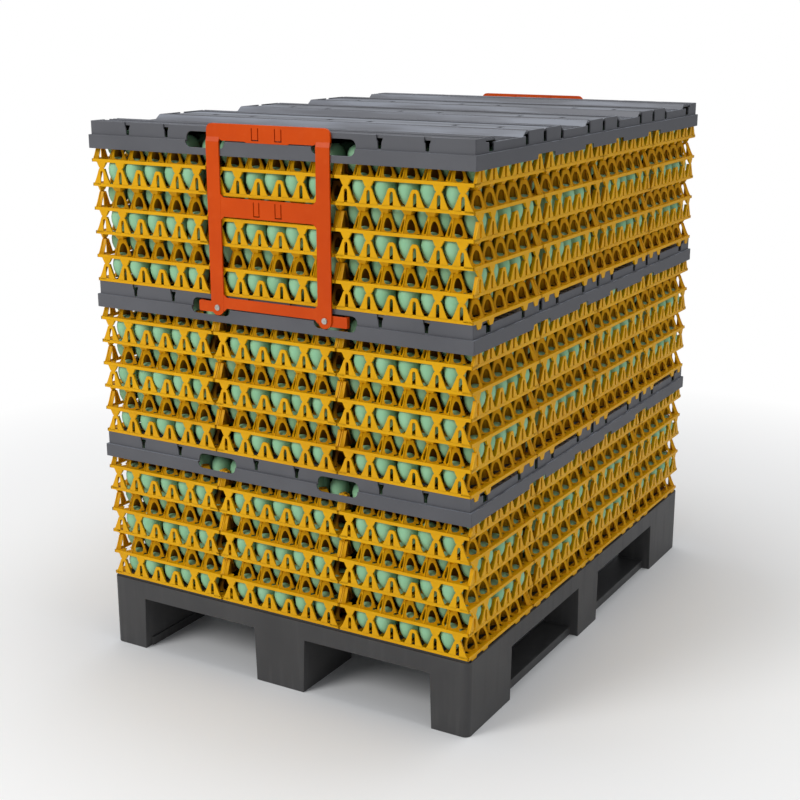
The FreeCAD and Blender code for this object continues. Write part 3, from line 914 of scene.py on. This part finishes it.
for tier, node in zip(TIERS, ("divider_lower", "divider_middle", "divider_top")):
    mesh = board_mesh(f"board_{tier}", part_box(node)[0].z / MM)
    show(mesh, BOARD, [node], bevel=0.7)
    print(node, triangles(mesh), "triangles before its edges are softened")

# %% [markdown]
# ## The pallet
#
# The pallet's form is right in the construction model, but a moulded edge is
# never razor sharp, and only a rounded edge catches the light. A copy of its
# mesh with flat faces merged and a Bevel modifier gives every edge a radius.

# %% Round the pallet's edges
def softened_copy(node, name):
    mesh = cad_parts[node].data.copy()
    mesh.name = name
    mesh.materials.clear()
    work = bmesh.new()
    work.from_mesh(mesh)
    bmesh.ops.remove_doubles(work, verts=work.verts, dist=0.02 * MM)
    bmesh.ops.dissolve_limit(work, angle_limit=math.radians(1), verts=work.verts, edges=work.edges)
    bmesh.ops.recalc_face_normals(work, faces=work.faces)
    work.to_mesh(mesh)
    work.free()
    return mesh


pallet_mesh = softened_copy("pallet", "pallet_body")
show(pallet_mesh, PALLET, ["pallet"], bevel=3.0)
print("pallet:", len(pallet_mesh.polygons), "faces")

# %% [markdown]
# ## The clamps
#
# A clamp is a moulded frame: a header that hangs on the top board, two legs,
# a middle bar and a lower bar. Its header and middle bar have spring tabs,
# made by a narrow slit round three sides of a tongue. Slits are drawn as
# holes in the outline, so they are real openings.

# %% The clamp's drawing, in millimetres from the frame
frame_low, frame_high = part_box("clamp_frame_front")
FOOT_Z, HEAD_Z = frame_low.z / MM, frame_high.z / MM
PIVOT_Z = FOOT_Z + 15.0
LEG_WALL = 3.5
FRONT_Y = -LONG / 2 - LEG_WALL
HALF_CLAMP, LEG = 144.0, 31.0
CLAMP_WALL = 5.0
STEP_Z = board_low.z / MM + SKIRT
HEADER_Y = -(LONG / 2 - BAND_INSET) - CLAMP_WALL
BRACE_TOP, BRACE_HIGH = HEAD_Z - 143.0, 38.0
TIE_HIGH = 22.0
HEADER_FOOT, HEADER_ROUND = STEP_Z + 0.3, 13.0
LIP_HALF, BAR_CORNER, CATCH_HALF = 48.0, 7.0, 4.5
PIVOT_X = HALF_CLAMP - LEG / 2


def tab_slit(left, right, low, high):
    """A slit round three sides of a tab that hangs from its upper edge."""
    w = 2.2
    return [(left, high), (left, low), (right, low), (right, high), (right - w, high), (right - w, low + w),
            (left + w, low + w), (left + w, high)]


def clamp_mesh(name, turn):
    clamp = Moulding()

    def header_place(a, b, c):
        return (turn * a, turn * (HEADER_Y + c), b)

    def leg_place(a, b, c):
        return (turn * a, turn * (FRONT_Y + c), b)

    low, high, r = HEADER_FOOT, HEAD_Z, HEADER_ROUND
    header = [(-HALF_CLAMP, low + 5), (-HALF_CLAMP + LEG, low + 5), (-HALF_CLAMP + LEG + 6, low + 2),
              (-LIP_HALF - 4, low + 2), (-LIP_HALF, low), (LIP_HALF, low), (LIP_HALF + 4, low + 2),
              (HALF_CLAMP - LEG - 6, low + 2), (HALF_CLAMP - LEG, low + 5), (HALF_CLAMP, low + 5)]
    header += arc((HALF_CLAMP - r, high - r), r, 0, 90) + arc((-HALF_CLAMP + r, high - r), r, 90, 180)
    slits = [tab_slit(-36, -19, low + 4, high - 6), tab_slit(18, 35, low + 4, high - 6)]
    clamp.plate([header] + slits, header_place, 0, CLAMP_WALL)

    for s in (-1, 1):
        x = s * PIVOT_X
        clamp.hexahedron([leg_place(a, z, c) for z, near, far in
                          ((STEP_Z - 1, 0, LEG_WALL),
                           (STEP_Z + 9, HEADER_Y - FRONT_Y, HEADER_Y - FRONT_Y + CLAMP_WALL - 0.2))
                          for a, c in ((x - LEG / 2, near), (x + LEG / 2, near),
                                       (x + LEG / 2, far), (x - LEG / 2, far))])
        ear = [(x - LEG / 2, STEP_Z), (x - LEG / 2, PIVOT_Z)]
        ear += arc((x, PIVOT_Z), LEG / 2, 180, 360, steps=12)
        ear += [(x + LEG / 2, PIVOT_Z), (x + LEG / 2, STEP_Z)]
        clamp.plate([ear], leg_place, 0, LEG_WALL)

    inside = HALF_CLAMP - LEG
    for low, high, tabs in ((BRACE_TOP - BRACE_HIGH, BRACE_TOP, True), (PIVOT_Z, PIVOT_Z + TIE_HIGH, False)):
        corner = BAR_CORNER
        bar = [(-inside, low - corner), (-inside + corner, low),
               (inside - corner, low), (inside, low - corner)]
        bar += [(inside, high + corner), (inside - corner, high),
                (-inside + corner, high), (-inside, high + corner)]
        holes = [tab_slit(-34, -19, low + 4, high - 5), tab_slit(17, 33, low + 4, high - 5)] if tabs else []
        clamp.plate([bar] + holes, leg_place, 0.3, LEG_WALL - 0.3)
    front, back = CLAMP_WALL - 1, CLAMP_WALL + BAND_WALL / 2
    for s in (-1, 1):
        clamp.hexahedron([header_place(s * END_SLOT_AT + a, b, c) for b in (HEAD_Z - 11, HEAD_Z - 0.5)
                          for a, c in ((-CATCH_HALF, front), (CATCH_HALF, front),
                                       (CATCH_HALF, back), (-CATCH_HALF, back))])
    return clamp.mesh(name)


# %% Tongues and screws at the feet of the legs
HOOK = 9.0
SCREW_RADIUS, CAP_RADIUS = 6.2, 5.6
SCREW_HEAD, SCREW_TOP = 1.3, 2.4


def tongue_mesh(name, node):
    low, high = (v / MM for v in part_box(node))
    side = 1 if abs(high.x) > abs(low.x) else -1
    turn = 1 if high.y < 0 else -1
    radius = (high.z - low.z) / 2
    blade = arc((PIVOT_X, (high.z + low.z) / 2), radius, 90, 270, steps=8)
    tip = max(abs(low.x), abs(high.x))
    blade += [(tip - 2, low.z), (tip, low.z + 2), (tip, high.z - 2), (tip - 2, high.z)]
    inner = abs(high.y if turn > 0 else low.y)

    def place(a, b, c):
        return (side * a, turn * (-LONG / 2 + c), b)
    tongue = Moulding()
    tongue.plate([blade], place, 0.1, 4.0)
    hook = [(tip - HOOK, low.z), (tip, low.z), (tip, high.z), (tip - HOOK, high.z)]
    tongue.plate([hook], place, 3.8, LONG / 2 - inner)
    return tongue.mesh(name)


def screw_mesh(name, turn):
    screws = Moulding()

    def place(a, b, c):
        return (turn * a, turn * (FRONT_Y - c), b)
    for s in (-1, 1):
        middle = (s * PIVOT_X, PIVOT_Z)
        screws.plate([arc(middle, SCREW_RADIUS, 0, 345, steps=23)], place, 0, SCREW_HEAD)
        for start in (8, 188):
            half = arc(middle, CAP_RADIUS, start + 30, start + 194, steps=10)
            screws.plate([half], place, SCREW_HEAD, SCREW_TOP)
    return screws.mesh(name)


for end, turn in (("front", 1), ("rear", -1)):
    show(clamp_mesh(f"clamp_{end}", turn), CLAMP, [f"clamp_frame_{end}"], bevel=0.8)
    for hand in ("a", "b"):
        node = f"clamp_tongue_{end}_{hand}"
        show(tongue_mesh(f"tongue_{end}_{hand}", node), CLAMP, [node], bevel=0.6)
    show(screw_mesh(f"screws_{end}", turn), STEEL, [f"clamp_screws_{end}"])
print("clamps: two frames, four tongues, four screws")

# %% [markdown]
# ## Floor and light
#
# The load stands on a pale floor that fades to white, under one large soft
# lamp from the front left, one above and a weak one from the right. A product
# photographer does the same with softboxes. The lamps stay gentle, so that
# colours come out as they are written above.

# %% A pale floor that fades to white far away
def floor_finish():
    f = Finish("studio floor")
    out = f.tree.nodes["Material Output"]
    spot = f.place((1, 1, 0))
    reach = f.node("ShaderNodeVectorMath", {"operation": "LENGTH"}, {0: spot}, out=1)
    far = f.node("ShaderNodeMapRange", {"clamp": True}, {"Value": reach, "From Min": 0.85, "From Max": 2.2})
    seen = f.node("ShaderNodeLightPath", out="Is Camera Ray")
    white = f.node("ShaderNodeEmission", sockets={"Color": (1, 1, 1), "Strength": 1.0})
    f.shade(Base_Color=(0.92, 0.92, 0.92), Roughness=0.8, Specular_IOR_Level=0.1)
    blend = f.node("ShaderNodeMixShader", sockets={0: far * seen})
    f.tree.links.new(f.shader.outputs[0], blend.output.node.inputs[1])
    f.tree.links.new(white.output, blend.output.node.inputs[2])
    f.tree.links.new(blend.output, out.inputs["Surface"])
    return f.material


floor_mesh = bpy.data.meshes.new("floor")
REACH = 40.0
floor_mesh.from_pydata([(-REACH, -REACH, 0), (REACH, -REACH, 0), (REACH, REACH, 0), (-REACH, REACH, 0)],
                       [], [(0, 1, 2, 3)])
floor_mesh.materials.append(floor_finish())
floor = bpy.data.objects.new("floor", floor_mesh)
bpy.context.scene.collection.objects.link(floor)


# %% Three soft lamps and an even sky
def lamp(name, place, size, power):
    light = bpy.data.lights.new(name, "AREA")
    light.shape = "DISK"
    light.size = size
    light.energy = power
    stand = bpy.data.objects.new(name, light)
    stand.location = place
    stand.rotation_euler = (Vector((0, 0, 0.6)) - Vector(place)).to_track_quat("-Z", "Y").to_euler()
    bpy.context.scene.collection.objects.link(stand)


lamp("key", (-1.9, -4.2, 3.3), 2.4, 112)
lamp("fill", (4.4, -0.6, 2.6), 2.4, 14)
lamp("top", (0.2, 0.4, 4.4), 3.2, 85)

world = bpy.data.worlds.new("studio")
bpy.context.scene.world = world
world.use_nodes = True
sky = world.node_tree
sky_light = sky.nodes["Background"]
sky_light.inputs["Color"].default_value = (0.93, 0.96, 1.0, 1)
sky_light.inputs["Strength"].default_value = 0.40
white_back = sky.nodes.new("ShaderNodeBackground")
white_back.inputs["Color"].default_value = (1, 1, 1, 1)
seen_by = sky.nodes.new("ShaderNodeLightPath")
choose = sky.nodes.new("ShaderNodeMixShader")
sky.links.new(seen_by.outputs["Is Camera Ray"], choose.inputs[0])
sky.links.new(sky_light.outputs[0], choose.inputs[1])
sky.links.new(white_back.outputs[0], choose.inputs[2])
sky.links.new(choose.outputs[0], sky.nodes["World Output"].inputs["Surface"])
bpy.context.scene.view_settings.view_transform = "Standard"
print("three lamps, one sky")
